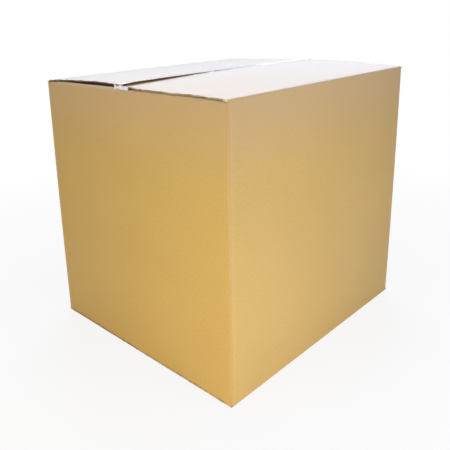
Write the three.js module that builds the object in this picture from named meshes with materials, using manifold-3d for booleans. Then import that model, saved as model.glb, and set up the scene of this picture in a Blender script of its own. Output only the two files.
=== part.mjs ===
// A closed corrugated cardboard shipping carton: one folded blank, sealed with clear tape.
// Millimetres, +Z up. Origin: the middle of the base, on the plane that the carton stands on.
// The side walls face +X and -X and carry the outer flaps, whose seam runs along Y.
// The end walls face +Y and -Y and carry the inner flaps, which lie under the outer ones.

import * as THREE from 'three';
import { mergeVertices } from 'three/addons/utils/BufferGeometryUtils.js';
import Module from 'manifold-3d';

// Overall size of the folded blank
const LENGTH = 645; // along Y, over the end walls
const WIDTH = 565; // along X, over the side walls
const END_WALL_TOP = 600; // height of the fold between an end wall and its top inner flap

// Board, folds and cuts
const BOARD = 4; // single-wall board
const FOLD_INNER_RADIUS = 1; // the liner inside a fold
const LAYER_GAP = 0.3; // air between two flaps that lie on each other
const SEAM_GAP = 1.5; // between the edges of the two outer flaps
const OUTER_FLAP_INSET = 1; // an outer flap's end stops this far inside the end wall's face
const INNER_FLAP_INSET = 7; // the corner slots are cut out of the inner flaps' sides
const SLOT_STOP = 1; // the slots end this far short of the inner flaps' folds
const FOLD_SEGMENTS = 5; // facets round each fold

// Maker's joint: the end wall's tab, glued inside the side wall, at the corner away from the viewer
const TAB_WIDTH = 35;
const TAB_TAPER = 14; // how much shorter the tab is at its free edge, at each end
const TAB_SHORT = 12; // the tab ends this far from the folds, at each end
const JOINT_SETBACK = 2; // the side wall's cut edge stops this far short of the end wall's face
const CUT_MARGIN = 0.5; // a cut passes the board by this much

// Tape
const TAPE_WIDTH = 45;
const TAPE_THICKNESS = 0.2;
const TAPE_GAP = 0.1; // the adhesive, between tape and board
const TAPE_TAIL = 46; // how far the top tape runs down the end walls
const TAPE_BEND_RADIUS = 1;
const TAPE_BRIDGE = 12; // the tape leaves the higher flap and meets the lower one this far on

// How far the outer top flaps have sprung up at their seam edges, at the -Y end, middle and +Y end
const FAR_FLAP_LIFT = [8.7, 9.2, 6.3]; // the flap hinged on the -X side wall
const NEAR_FLAP_LIFT = [2.2, 8.6, 8]; // the flap hinged on the +X side wall
const LIFT_EASE = 0.75; // below 1: the flap rises soon after its fold and then levels off

// Facets of the sprung flaps and of the tape over them
const LIFT_STEPS_ACROSS = 12;
const LIFT_STEPS_ALONG = 14;
const TAPE_STEPS_ACROSS = 12;

// Sizes that follow from these
const halfLength = LENGTH / 2;
const halfWidth = WIDTH / 2;
const foldRadius = FOLD_INNER_RADIUS + BOARD;
const base = TAPE_THICKNESS + TAPE_GAP; // underside of the outer bottom flaps
const outerTop = END_WALL_TOP + LAYER_GAP + BOARD; // upper side of the outer top flaps at their folds
const innerBase = base + BOARD + LAYER_GAP; // underside of the inner bottom flaps
const flapDepth = halfWidth - SEAM_GAP / 2; // all eight flaps have one depth
const wallTop = END_WALL_TOP - SLOT_STOP;
const wallBase = innerBase + SLOT_STOP;

const wasm = await Module();
wasm.setup();

// Booleans

function toSolid(geometry) {
  const bare = geometry.clone();
  bare.deleteAttribute('normal');
  bare.deleteAttribute('uv');
  const merged = mergeVertices(bare);
  return new wasm.Manifold(new wasm.Mesh({
    numProp: 3,
    vertProperties: new Float32Array(merged.attributes.position.array),
    triVerts: new Uint32Array(merged.index.array),
  }));
}

function toGeometry(solid) {
  const mesh = solid.getMesh();
  const geometry = new THREE.BufferGeometry();
  geometry.setAttribute('position', new THREE.BufferAttribute(mesh.vertProperties, 3));
  geometry.setIndex(new THREE.BufferAttribute(mesh.triVerts, 1));
  geometry.computeVertexNormals();
  return geometry;
}

function boxSolid(low, high) {
  const size = high.map((value, axis) => value - low[axis]);
  const middle = high.map((value, axis) => (value + low[axis]) / 2);
  return toSolid(new THREE.BoxGeometry(...size).translate(...middle));
}

// Extrudes an outline drawn in the vertical plane (across, Z) along the third axis, centred on it.
// across is 'x' or 'y'.
function extrudeUpright(shape, across, span, steps) {
  const geometry = new THREE.ExtrudeGeometry(shape, { depth: span, steps, bevelEnabled: false });
  geometry.translate(0, 0, -span / 2);
  const x = new THREE.Vector3(1, 0, 0);
  const y = new THREE.Vector3(0, 1, 0);
  const z = new THREE.Vector3(0, 0, 1);
  const turn = across === 'x'
    ? new THREE.Matrix4().makeBasis(x, z, y.negate())
    : new THREE.Matrix4().makeBasis(y, z, x);
  return geometry.applyMatrix4(turn);
}

function lineInSteps(shape, to, steps) {
  const from = shape.currentPoint.clone();
  for (let step = 1; step <= steps; step += 1) {
    const share = step / steps;
    shape.lineTo(from.x + (to[0] - from.x) * share, from.y + (to[1] - from.y) * share);
  }
}

function quarterTurn(shape, centre, radius, startAngle, sweep) {
  for (let step = 1; step <= FOLD_SEGMENTS; step += 1) {
    const angle = startAngle + (sweep * step) / FOLD_SEGMENTS;
    shape.lineTo(centre[0] + radius * Math.cos(angle), centre[1] + radius * Math.sin(angle));
  }
}

// The sprung top

// A smooth curve through three heights: at the -Y end, the middle and the +Y end.
function alongSeam([front, middle, back], y) {
  const place = y / halfLength;
  return front * place * (place - 1) / 2 + middle * (1 - place * place) + back * place * (place + 1) / 2;
}

function flapLift(x, y) {
  const heights = x < 0 ? FAR_FLAP_LIFT : NEAR_FLAP_LIFT;
  const fromFold = halfWidth - foldRadius - Math.abs(x);
  const share = THREE.MathUtils.clamp(fromFold / (flapDepth - foldRadius), 0, 1);
  return alongSeam(heights, y) * Math.sin((Math.PI / 2) * share ** LIFT_EASE);
}

// The tape stays on the higher flap as far as the seam, then slopes down to the lower one.
function tapeLift(x, y) {
  const far = alongSeam(FAR_FLAP_LIFT, y);
  const near = alongSeam(NEAR_FLAP_LIFT, y);
  const overLowerFlap = far > near ? x > 0 : x < 0;
  const slope = overLowerFlap ? Math.max(0, 1 - Math.abs(x) / TAPE_BRIDGE) : 0;
  const flap = x === 0 ? Math.max(far, near) : flapLift(x, y);
  return x === 0 ? flap : flap + Math.abs(far - near) * slope;
}

function raise(geometry, heightAt) {
  const position = geometry.attributes.position;
  for (let index = 0; index < position.count; index += 1) {
    const x = position.getX(index);
    const y = position.getY(index);
    const z = position.getZ(index);
    position.setZ(index, z + heightAt(x, y, z));
  }
  return geometry;
}

// The blank

// The walls in plan: three folded corners, and the glued joint at the -X +Y corner.
function wallShape() {
  const outer = new THREE.Shape();
  const low = [-halfWidth, -halfLength];
  const high = [halfWidth, halfLength];
  const quarter = Math.PI / 2;
  outer.moveTo(low[0], high[1] - JOINT_SETBACK);
  outer.lineTo(low[0], low[1] + foldRadius);
  quarterTurn(outer, [low[0] + foldRadius, low[1] + foldRadius], foldRadius, 2 * quarter, quarter);
  outer.lineTo(high[0] - foldRadius, low[1]);
  quarterTurn(outer, [high[0] - foldRadius, low[1] + foldRadius], foldRadius, 3 * quarter, quarter);
  outer.lineTo(high[0], high[1] - foldRadius);
  quarterTurn(outer, [high[0] - foldRadius, high[1] - foldRadius], foldRadius, 0, quarter);
  const tabFace = low[0] + BOARD;
  outer.lineTo(tabFace + foldRadius, high[1]);
  quarterTurn(outer, [tabFace + foldRadius, high[1] - foldRadius], foldRadius, quarter, quarter);
  outer.lineTo(tabFace, high[1] - JOINT_SETBACK);

  const inner = new THREE.Path();
  const r = FOLD_INNER_RADIUS;
  const tabInside = tabFace + BOARD;
  inner.moveTo(tabFace, high[1] - TAB_WIDTH);
  inner.lineTo(tabInside, high[1] - TAB_WIDTH);
  inner.lineTo(tabInside, high[1] - foldRadius);
  quarterTurn(inner, [tabFace + foldRadius, high[1] - foldRadius], r, 2 * quarter, -quarter);
  inner.lineTo(high[0] - foldRadius, high[1] - BOARD);
  quarterTurn(inner, [high[0] - foldRadius, high[1] - foldRadius], r, quarter, -quarter);
  inner.lineTo(high[0] - BOARD, low[1] + foldRadius);
  quarterTurn(inner, [high[0] - foldRadius, low[1] + foldRadius], r, 0, -quarter);
  inner.lineTo(low[0] + foldRadius, low[1] + BOARD);
  quarterTurn(inner, [low[0] + foldRadius, low[1] + foldRadius], r, -quarter, -quarter);
  outer.holes.push(inner);
  return outer;
}

// Cuts the tab's two ends back and gives them their taper.
function tabTrim(end) {
  const stop = end > 0 ? END_WALL_TOP - TAB_SHORT : innerBase + TAB_SHORT;
  const past = stop + end * 2 * TAB_SHORT;
  const shape = new THREE.Shape();
  const root = halfLength - JOINT_SETBACK;
  const tip = halfLength - TAB_WIDTH - CUT_MARGIN;
  shape.moveTo(root, stop);
  shape.lineTo(root, past);
  shape.lineTo(tip, past);
  shape.lineTo(tip, stop - end * TAB_TAPER);
  const geometry = extrudeUpright(shape, 'y', BOARD + CUT_MARGIN, 1);
  return toSolid(geometry.translate(-halfWidth + BOARD + (BOARD + CUT_MARGIN) / 2, 0, 0));
}

function walls() {
  const height = wallTop - wallBase;
  const geometry = new THREE.ExtrudeGeometry(wallShape(), { depth: height, bevelEnabled: false });
  let solid = toSolid(geometry.translate(0, 0, wallBase));
  for (const end of [-1, 1]) {
    solid = solid.subtract(tabTrim(end));
    for (const side of [-1, 1]) {
      solid = solid.subtract(foldRoom(side, end));
    }
  }
  return solid;
}

// The room that an inner flap's fold takes out of its end wall, between the two corner slots.
function foldRoom(side, end) {
  const reach = halfWidth - INNER_FLAP_INSET;
  const faces = [side * (halfLength - foldRadius), side * (halfLength + foldRadius)];
  const heights = end > 0
    ? [END_WALL_TOP - foldRadius, END_WALL_TOP + foldRadius]
    : [innerBase - foldRadius, innerBase + foldRadius];
  return boxSolid(
    [-reach, Math.min(...faces), heights[0]],
    [reach, Math.max(...faces), heights[1]],
  );
}

// A flap in section: a short length of wall whose outer face is at wallFace, the fold, and the flap.
function flapShape(wallFace, crest, steps) {
  const shape = new THREE.Shape();
  const free = wallFace - flapDepth;
  const centre = [wallFace - foldRadius, crest - foldRadius];
  const foot = crest - 2 * foldRadius;
  shape.moveTo(wallFace - BOARD, foot);
  shape.lineTo(wallFace, foot);
  shape.lineTo(wallFace, centre[1]);
  quarterTurn(shape, centre, foldRadius, 0, Math.PI / 2);
  lineInSteps(shape, [free, crest], steps);
  shape.lineTo(free, crest - BOARD);
  lineInSteps(shape, [centre[0], crest - BOARD], steps);
  quarterTurn(shape, centre, FOLD_INNER_RADIUS, Math.PI / 2, -Math.PI / 2);
  return shape;
}

// side is +1 or -1 along X, end is +1 for the top and -1 for the bottom.
function outerFlap(side, end) {
  const sprung = end > 0;
  const crest = sprung ? outerTop : -base;
  const shape = flapShape(halfWidth, crest, sprung ? LIFT_STEPS_ACROSS : 1);
  const span = LENGTH - 2 * OUTER_FLAP_INSET;
  const flap = extrudeUpright(shape, 'x', span, sprung ? LIFT_STEPS_ALONG : 1);
  if (!sprung) flap.rotateX(Math.PI);
  if (side < 0) flap.rotateZ(Math.PI);
  return toSolid(sprung ? raise(flap, flapLift) : flap);
}

// side is +1 or -1 along Y, end is +1 for the top and -1 for the bottom.
function innerFlap(side, end) {
  const crest = end > 0 ? END_WALL_TOP : -innerBase;
  const shape = flapShape(halfLength, crest, 1);
  const flap = extrudeUpright(shape, 'y', WIDTH - 2 * INNER_FLAP_INSET, 1);
  if (end < 0) flap.rotateY(Math.PI);
  if (side < 0) flap.rotateZ(Math.PI);
  return toSolid(flap);
}

function cartonBlank() {
  let solid = walls();
  for (const side of [-1, 1]) {
    for (const end of [-1, 1]) {
      solid = solid.add(outerFlap(side, end)).add(innerFlap(side, end));
    }
  }
  return toGeometry(solid);
}

// The tape

// One face of the top tape in section along Y, at a height over its glued face: over the outer flaps,
// with a tail down each end wall.
function tapeLine(height) {
  const line = new THREE.Path();
  const bend = TAPE_BEND_RADIUS;
  const quarter = Math.PI / 2;
  const centreY = halfLength + TAPE_GAP - bend;
  const centreZ = outerTop + TAPE_GAP - bend;
  const reach = centreY + bend + height;
  const tailEnd = END_WALL_TOP - TAPE_TAIL;
  line.moveTo(reach, tailEnd);
  line.lineTo(reach, END_WALL_TOP);
  line.lineTo(reach, centreZ);
  quarterTurn(line, [centreY, centreZ], bend + height, 0, quarter);
  lineInSteps(line, [-centreY, centreZ + bend + height], LIFT_STEPS_ALONG);
  quarterTurn(line, [-centreY, centreZ], bend + height, quarter, quarter);
  line.lineTo(-reach, END_WALL_TOP);
  line.lineTo(-reach, tailEnd);
  return line.getPoints();
}

// A film between two lines drawn in the (Y, Z) plane, centred on X. Both faces are split along the
// same diagonals, so that they stay apart where the film twists.
function film(under, over, span, steps) {
  const count = under.length;
  const positions = [];
  const index = [];
  const at = (step, layer, place) => (step * 2 + layer) * count + place;
  const quad = (a, b, c, d) => index.push(a, b, c, a, c, d);
  for (let step = 0; step <= steps; step += 1) {
    const x = span * (step / steps - 0.5);
    for (const point of [...under, ...over]) positions.push(x, point.x, point.y);
  }
  for (let step = 0; step < steps; step += 1) {
    for (let place = 0; place < count - 1; place += 1) {
      const corners = [[step, place], [step, place + 1], [step + 1, place + 1], [step + 1, place]];
      const [a, b, c, d] = corners.map(([row, column]) => at(row, 0, column));
      quad(a, d, c, b);
      quad(...corners.map(([row, column]) => at(row, 1, column)));
    }
    for (const [place, next, last] of [[0, step, step + 1], [count - 1, step + 1, step]]) {
      quad(at(next, 0, place), at(next, 1, place), at(last, 1, place), at(last, 0, place));
    }
  }
  for (let place = 0; place < count - 1; place += 1) {
    quad(at(0, 0, place), at(0, 0, place + 1), at(0, 1, place + 1), at(0, 1, place));
    quad(at(steps, 0, place), at(steps, 1, place), at(steps, 1, place + 1), at(steps, 0, place + 1));
  }
  const geometry = new THREE.BufferGeometry();
  geometry.setAttribute('position', new THREE.Float32BufferAttribute(positions, 3));
  geometry.setIndex(index);
  return geometry;
}

// Above the end walls' folds the tape stretches up to the sprung flaps.
function tapeRise(x, y, z) {
  const bendStart = outerTop + TAPE_GAP - TAPE_BEND_RADIUS;
  const share = THREE.MathUtils.clamp((z - END_WALL_TOP) / (bendStart - END_WALL_TOP), 0, 1);
  return share * tapeLift(x, y);
}

function topTape() {
  const band = film(tapeLine(0), tapeLine(TAPE_THICKNESS), TAPE_WIDTH, TAPE_STEPS_ACROSS);
  return toGeometry(toSolid(raise(band, tapeRise)));
}

function bottomTape() {
  const band = new THREE.BoxGeometry(TAPE_WIDTH, LENGTH - 2 * OUTER_FLAP_INSET, TAPE_THICKNESS);
  return band.translate(0, 0, TAPE_THICKNESS / 2);
}

// The object

const kraft = new THREE.MeshStandardMaterial({ color: 0xd2a868, roughness: 0.85, metalness: 0 });
const clearTape = new THREE.MeshStandardMaterial({
  color: 0xe9e2d3, roughness: 0.15, metalness: 0, transparent: true, opacity: 0.4,
});

function part(name, geometry, material) {
  const mesh = new THREE.Mesh(geometry, material);
  mesh.name = name;
  return mesh;
}

const carton = new THREE.Group();
carton.add(part('carton_blank', cartonBlank(), kraft));
carton.add(part('top_tape', topTape(), clearTape));
carton.add(part('bottom_tape', bottomTape(), clearTape));

export default carton;
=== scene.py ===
"""A closed corrugated cardboard carton, sealed along its top seam with clear tape.

The board is modelled as the flat sheet that it is cut from: every point has a place s along the sheet,
which runs round the four walls, and a place t up it, along the flutes. Folding maps (s, t) to the carton.
"""
import math

import bpy
import numpy as np
from mathutils import Matrix, Vector


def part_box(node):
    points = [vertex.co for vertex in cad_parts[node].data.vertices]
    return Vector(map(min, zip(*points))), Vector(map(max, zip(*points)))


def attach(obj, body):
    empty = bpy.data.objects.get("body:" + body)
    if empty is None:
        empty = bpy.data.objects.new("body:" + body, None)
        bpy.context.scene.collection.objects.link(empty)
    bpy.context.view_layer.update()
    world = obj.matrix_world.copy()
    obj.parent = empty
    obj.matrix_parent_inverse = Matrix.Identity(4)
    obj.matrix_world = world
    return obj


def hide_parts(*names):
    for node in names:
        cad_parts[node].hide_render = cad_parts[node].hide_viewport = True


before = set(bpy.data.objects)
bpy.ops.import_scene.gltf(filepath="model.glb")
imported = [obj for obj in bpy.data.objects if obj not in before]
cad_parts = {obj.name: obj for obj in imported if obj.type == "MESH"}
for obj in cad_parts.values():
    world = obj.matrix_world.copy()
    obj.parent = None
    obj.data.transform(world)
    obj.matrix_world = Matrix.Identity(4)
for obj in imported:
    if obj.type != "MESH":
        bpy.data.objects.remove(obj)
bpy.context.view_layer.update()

MM = 0.001

# The blank, as the CAD has it
BLANK_LOW, BLANK_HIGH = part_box("carton_blank")
HALF_WIDTH = BLANK_HIGH[0]
HALF_LENGTH = BLANK_HIGH[1]
BASE = BLANK_LOW[2]
BOARD = 4 * MM
LAYER_GAP = 0.3 * MM
FOLD_RADIUS = 5 * MM
END_WALL_TOP = 600 * MM
OUTER_TOP = END_WALL_TOP + LAYER_GAP + BOARD
INNER_BASE = BASE + BOARD + LAYER_GAP
SEAM_GAP = 1.5 * MM
FLAP_DEPTH = HALF_WIDTH - SEAM_GAP / 2
OUTER_FLAP_INSET = 1 * MM
INNER_FLAP_INSET = 7 * MM
SLOT_STOP = 1 * MM
JOINT_SETBACK = 2 * MM
TAB_WIDTH = 35 * MM
TAB_SHORT = 26 * MM
FAR_FLAP_LIFT = (8.7 * MM, 9.2 * MM, 6.3 * MM)
NEAR_FLAP_LIFT = (2.2 * MM, 8.6 * MM, 8 * MM)
LIFT_EASE = 0.75

# The make-up of the board
LINER = 0.45 * MM
MEDIUM = 0.3 * MM
FLUTE_PITCH = 7.9 * MM
GROOVE = 7 * MM  # how far in from a cut edge the flutes are modelled

# The tape
TAPE_WIDTH = 45 * MM
TAPE_THICKNESS = 0.12 * MM
TAPE_GAP = 0.12 * MM
TAPE_TAIL = 46 * MM
TAPE_BRIDGE = 6 * MM
TAIL_RUN = 50 * MM  # the tail's length on the roll, before it stretches over the sprung flaps
TAPE_BEND = 1 * MM
TAPE_CROSSING = 0.3 * TAIL_RUN  # the tail's part from the flaps' top to the end wall
PUCKER = 0.3 * MM
PUCKER_LENGTH = 12 * MM
BUBBLE = 0.1 * MM
BUBBLE_LENGTH = 16 * MM
EDGE_WANDER = 0.25 * MM
BOTTOM_FILM = 0.04 * MM
BOTTOM_FILM_LOW = 0.1 * MM

# Where the film is painted cloudy white: over the end wall's top up to the flaps' top, cloudy where it isn't
# stuck down with a painted highlight on its bend and left edge, and a painted glare band at the back of the
# seam
CROSSING = (END_WALL_TOP - 1 * MM, END_WALL_TOP + 3 * MM)
FILM_RIM = (1.8 * MM, 0.6 * MM)  # from the film's cut edge: where the cloudy rim starts and is full; over the end wall's top it is painted bright as a highlight
# Painted highlight down the film's left edge over the end wall's top: how far from the edge it is full and
# ends
LEFT_EDGE_GLARE = (4 * MM, 6 * MM)
CREASE_LENGTH = 14 * MM
# The painted glare band along the back of the seam: where along the top it starts and is full
GLARE_FROM, GLARE_FULL = 80 * MM, 150 * MM
# Where a bluish reflection is painted on the film over the seam
BLUE_GLANCE_RISE = (-75 * MM, -35 * MM)
BLUE_GLANCE_FALL = (120 * MM, 90 * MM)

QUARTER = math.pi / 2
ARC = FOLD_RADIUS * QUARTER
ARC_STEPS = 7
BOTTOM_CRUSH = 0.25
CORNER_PALE_REACH = 26 * MM  # how far from the folds the cut edges are paler
CELL = 10 * MM
FINE_CELL = 3.5 * MM  # along the torn ends of the outer top flaps

# A hump is its height, its place and its width.

# How far the walls stand out from flat
WALL_BOW = 1.1 * MM
WALL_BELLY = 1.2 * MM
WALL_RIPPLE = 0.45 * MM
WALL_RIPPLE_LENGTH = 240 * MM
WALL_CALM = (4 * MM, 60 * MM)  # distances from a fold where the ripple starts and is full
FOLD_RIDGE = (0.12 * MM, 5.6 * MM, 1.2 * MM)
FOLD_DIP = (0.15 * MM, 9.5 * MM, 2 * MM)

# The uneven outer top flaps
TOP_RIPPLE = 0.35 * MM
TOP_RIPPLE_LENGTH = 300 * MM
FLAP_ROOT = 40 * MM  # the ripples start at the fold and are full this far in
CRIMPS = ((1.5 * MM, 207 * MM, 26 * MM), (0.9 * MM, 30 * MM, 16 * MM))
CRIMP_FADE = 55 * MM
SEAM_REACH = 45 * MM
SEAM_RIDGE = (0.6 * MM, 45 * MM - HALF_LENGTH, 45 * MM)
NEAR_CORNER_LIFT = 0.7 * MM
FAR_CORNER_LIFT = -2.8 * MM
CORNER_FADE = 16 * MM
END_PRESS = 0.9 * MM
END_PRESS_FADE = 45 * MM
END_PRESS_ROOT = 60 * MM
END_WAVE_FADE = 7 * MM
END_WAVES = ((57, 0.5 * MM, 48 * MM, 4), (61, 0.4 * MM, 13 * MM, 3))  # seed, height, length, octaves

# The front inner flap's fold, bulging where the outer flaps leave it room
BULGE_MOST = 3.4 * MM
BULGE_SHARE = 0.8  # of the far flap's lift
BULGE_BY_SEAM = (0.5 * MM, -48 * MM, 48 * MM)
NEAR_BULGE = 1.8 * MM
NEAR_BULGE_ROOT = 60 * MM
BULGE_BLEND = 20 * MM
BULGE_FADE = 20 * MM

# Paleness at the folds, partly scuffed liner and partly a painted highlight on their crests, and a darker
# middle on the upright folds: over the distance from an upright fold's middle, or over the place t up the
# sheet
UPRIGHT_RUB_AND_HIGHLIGHT = (0.14, 6 * MM, 1.3 * MM)
# A darker middle on the upright folds
UPRIGHT_DARK = (0.6, 0, 3.8 * MM)
END_FOLD_RUB_AND_HIGHLIGHT = (1.0, END_WALL_TOP + 3 * MM, 4.5 * MM)
SIDE_FOLD_RUB_AND_HIGHLIGHT = (0.7, OUTER_TOP + 1.5 * MM, 3.2 * MM)
NEAR_FLAP_COVER = 0.45  # how much less the end wall's fold is painted pale, scuffed and highlighted, under the near flap

# The slit ends of the outer flaps
SLIT_BAND = 9 * MM  # how far in from the slit the board is crushed
SLIT_EASE = 15 * MM
FAR_CRUSH = 0.36
NEAR_CRUSH = 0.25
TEAR = 1.3 * MM
SMALL_TEAR = 0.3 * MM
COARSE_TEAR_LENGTH = 70 * MM
FINE_TEAR_LENGTH = 14 * MM
TEAR_REACH = 4 * MM
TEAR_EASE = 12 * MM
DEEP_GROOVE = 1.6 * MM
CRUSHED_GROOVE = 0.7 * MM
JOINT_GROOVE = 3 * MM
FLUTE_STEPS = 6  # grid lines to each flute
FLUTE_INSET = 1 * MM
FLUTE_START = 0.4 * MM
FLUTE_STRIP = 2 * MM
# Cut edges painted lighter against their shade: along the bottom flaps and the near top flap's ends
BOTTOM_EDGE_PAINTED_LIGHT = 0.6
NEAR_EDGE_PAINTED_LIGHT = 0.4
TAB_TAPER = 14 * MM
CLOSE = 0.01 * MM  # lines nearer than this are one


# Numbers

OCTAVE_RATIO = 1.7  # each octave's waves are this much shorter than the last one's
OCTAVE_FADE = 0.6


def smooth(low, high, value):
    share = np.clip((value - low) / (high - low), 0, 1)
    return share * share * (3 - 2 * share)


def bell(value, centre, width):
    return np.exp(-(((value - centre) / width) ** 2))


def hump(value, shape):
    height, centre, width = shape
    return height * bell(value, centre, width)


def waves(seed, x, y, longest, count=5):
    """A smooth random surface between about -1 and 1, the same on each run."""
    rng = np.random.default_rng(seed)
    total = np.zeros(np.broadcast(x, y).shape)
    weight = 0.0
    for octave in range(count):
        angle = rng.uniform(0, math.tau, 3)
        size = longest / OCTAVE_RATIO**octave
        strength = OCTAVE_FADE**octave
        for turn in angle:
            along = x * math.cos(turn) + y * math.sin(turn)
            total += strength * np.sin(math.tau * along / size + rng.uniform(0, math.tau))
        weight += strength * 1.6
    return total / weight


# The outline of the walls in plan, as the sheet runs round it

def plan_runs():
    """The walls and folds in the sheet's order: (kind, length, start, heading or arc centre, turn)."""
    r, w, l = FOLD_RADIUS, HALF_WIDTH, HALF_LENGTH
    return [
        ("wall", 2 * l - JOINT_SETBACK - r, (-w, l - JOINT_SETBACK), -QUARTER),
        ("fold", ARC, (-w + r, -l + r), math.pi),
        ("wall", 2 * (w - r), (-w + r, -l), 0.0),
        ("fold", ARC, (w - r, -l + r), -QUARTER),
        ("wall", 2 * (l - r), (w, -l + r), QUARTER),
        ("fold", ARC, (w - r, l - r), 0.0),
        ("wall", 2 * w - 2 * r - BOARD, (w - r, l), math.pi),
        ("fold", ARC, (-w + BOARD + r, l - r), QUARTER),
    ]


RUNS = plan_runs()
STARTS = np.concatenate([[0], np.cumsum([run[1] for run in RUNS])])
WEST, SOUTH, EAST, NORTH = 0, 2, 4, 6  # the walls' places in RUNS: -X, -Y, +X, +Y


def plan(s, run):
    """Place and outward normal in plan of the points s of one run, which may reach past its ends."""
    kind, length, place, angle = RUNS[run]
    along = s - STARTS[run]
    if kind == "wall":
        heading = np.array([math.cos(angle), math.sin(angle)])
        normal = np.array([heading[1], -heading[0]])
        points = np.array(place) + along[..., None] * heading
        return points, np.broadcast_to(normal, points.shape)
    turn = angle + along / FOLD_RADIUS
    normal = np.stack([np.cos(turn), np.sin(turn)], -1)
    return np.array(place) + FOLD_RADIUS * normal, normal


def from_corner(s):
    """Distance along the sheet from the middle of the nearest vertical fold."""
    middles = [STARTS[run] + ARC / 2 for run in (1, 3, 5, 7)]
    return np.min(np.abs(s[..., None] - np.array(middles)), axis=-1)


def wall_relief(s, z):
    """How far the walls stand out from flat: a bow, the crushed band beside each fold, and a ripple."""
    arch = np.sin(math.pi * np.clip(z / END_WALL_TOP, 0, 1))
    across = np.zeros_like(s)
    for run in (WEST, SOUTH, EAST, NORTH):
        share = (s - STARTS[run]) / RUNS[run][1]
        across += np.where((share > 0) & (share < 1), np.sin(math.pi * np.clip(share, 0, 1)), 0)
    gap = from_corner(s)
    band = hump(gap, FOLD_RIDGE) - hump(gap, FOLD_DIP)
    ripple = WALL_RIPPLE * waves(11, s, z, WALL_RIPPLE_LENGTH) * smooth(*WALL_CALM, gap)
    return band + (WALL_BOW + WALL_BELLY * across + ripple) * arch


# The sprung top

def along_seam(heights, y):
    front, middle, back = heights
    place = y / HALF_LENGTH
    return front * place * (place - 1) / 2 + middle * (1 - place**2) + back * place * (place + 1) / 2


def flap_lift(x, y):
    share = np.clip((HALF_WIDTH - FOLD_RADIUS - np.abs(x)) / (FLAP_DEPTH - FOLD_RADIUS), 0, 1)
    rise = np.sin(QUARTER * share**LIFT_EASE)
    far = along_seam(FAR_FLAP_LIFT, y)
    near = along_seam(NEAR_FLAP_LIFT, y)
    return np.where(x < 0, far, near) * rise


def end_ripple(x, y):
    """The near flap's front end is crimped: it stands up a little in two places. Both ends are uneven."""
    from_front = y + HALF_LENGTH
    by_seam = bell(x, 0, SEAM_REACH)
    crimps = sum(hump(x, crimp) for crimp in CRIMPS) * np.exp(-from_front / CRIMP_FADE)
    ridge = hump(y, SEAM_RIDGE) * by_seam
    pressed = END_PRESS * np.exp(-from_front / END_PRESS_FADE) * (1 - by_seam)
    pressed = pressed * smooth(0, END_PRESS_ROOT, HALF_WIDTH - x)
    settled = np.where(x > 0, NEAR_CORNER_LIFT, FAR_CORNER_LIFT) * by_seam
    settled = settled * np.exp(-from_front / CORNER_FADE)
    close = np.exp(-(HALF_LENGTH - np.abs(y)) / END_WAVE_FADE) * smooth(0, FLAP_ROOT, HALF_WIDTH - np.abs(x))
    uneven = sum(height * waves(seed, x, 0 * x, length, count) for seed, height, length, count in END_WAVES)
    return np.where(x > 0, crimps + ridge - pressed, 0) + settled + close * uneven


def inner_bulge(x, y):
    """How far the front inner flap bulges up at its fold, where the outer flaps leave it room."""
    under_far = np.minimum(BULGE_MOST, BULGE_SHARE * flap_lift(x, y)) + hump(x, BULGE_BY_SEAM)
    under_near = NEAR_BULGE * smooth(HALF_WIDTH, HALF_WIDTH - NEAR_BULGE_ROOT, x)
    beyond_seam = smooth(-BULGE_BLEND, BULGE_BLEND, x)
    return (under_far * (1 - beyond_seam) + under_near * beyond_seam) * (y < 0)


def top_height(x, y):
    """Upper side of the outer top flaps, away from their folds."""
    share = smooth(0, FLAP_ROOT, HALF_WIDTH - np.abs(x))
    waviness = TOP_RIPPLE * waves(5, x * 0.6, y, TOP_RIPPLE_LENGTH) * share
    return OUTER_TOP + flap_lift(x, y) + end_ripple(x, y) + waviness * (1 - 0.6 * bell(x, 0, 30 * MM))


# Folding the sheet

class Patch:
    """A part of the sheet that folds as one: a wall with the flap at its top or bottom, or a bare wall."""

    def __init__(self, s_lines, t_lines, run_of, end=0, crest=0.0, sprung=False):
        self.s_lines = np.array(s_lines)
        self.t_lines = np.array(t_lines)
        self.run_of = run_of
        self.end = end  # +1 for a top flap, -1 for a bottom flap, 0 for wall
        self.start = crest - end * FOLD_RADIUS  # where the fold starts
        self.sprung = sprung
        self.pinch = None

    def place(self, s, t, depth=0.0):
        """The point at (s, t), at the given depth under the outer face."""
        s, t, depth = np.broadcast_arrays(*(np.asarray(value, float) for value in (s, t, depth)))
        if self.pinch:
            depth = depth * self.pinch(s, t)
        flat = np.empty(s.shape + (3,))
        for number in np.unique(self.run_of(s)):
            mask = self.run_of(s) == number
            flat[mask] = self.fold(s[mask], t[mask], depth[mask], int(number))
        return flat

    def fold(self, s, t, depth, run):
        points, normal = plan(s, run)
        if self.end == 0:
            out = wall_relief(s, t) - depth
            return np.concatenate([points + normal * out[:, None], t[:, None]], axis=1)
        past = (t - self.start) * self.end
        angle = np.clip(past / FOLD_RADIUS, 0, QUARTER)
        reach = np.maximum(past - ARC, 0)
        radius = FOLD_RADIUS - depth
        relief = wall_relief(s, t) * (1 - smooth(-12 * MM, 0, past))
        cosine, sine = np.cos(angle), np.sin(angle)
        if self.end < 0 and depth.max() < BOARD / 2:
            # The carton's weight has pressed the bottom folds sharp.
            cosine, sine = cosine**BOTTOM_CRUSH, sine**BOTTOM_CRUSH
        inward = FOLD_RADIUS + reach - radius * cosine
        height = self.start + self.end * (radius * sine + np.minimum(past, 0))
        plan_point = points - normal * inward[:, None] + normal * relief[:, None]
        x, y = plan_point[:, 0], plan_point[:, 1]
        if self.sprung:
            height = height + np.where(past > 0, top_height(x, y) - OUTER_TOP, 0)
        elif self.end > 0:
            height = height + inner_bulge(x, y) * angle / QUARTER * np.exp(-reach / BULGE_FADE)
        return np.concatenate([plan_point, height[:, None]], axis=1)


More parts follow.
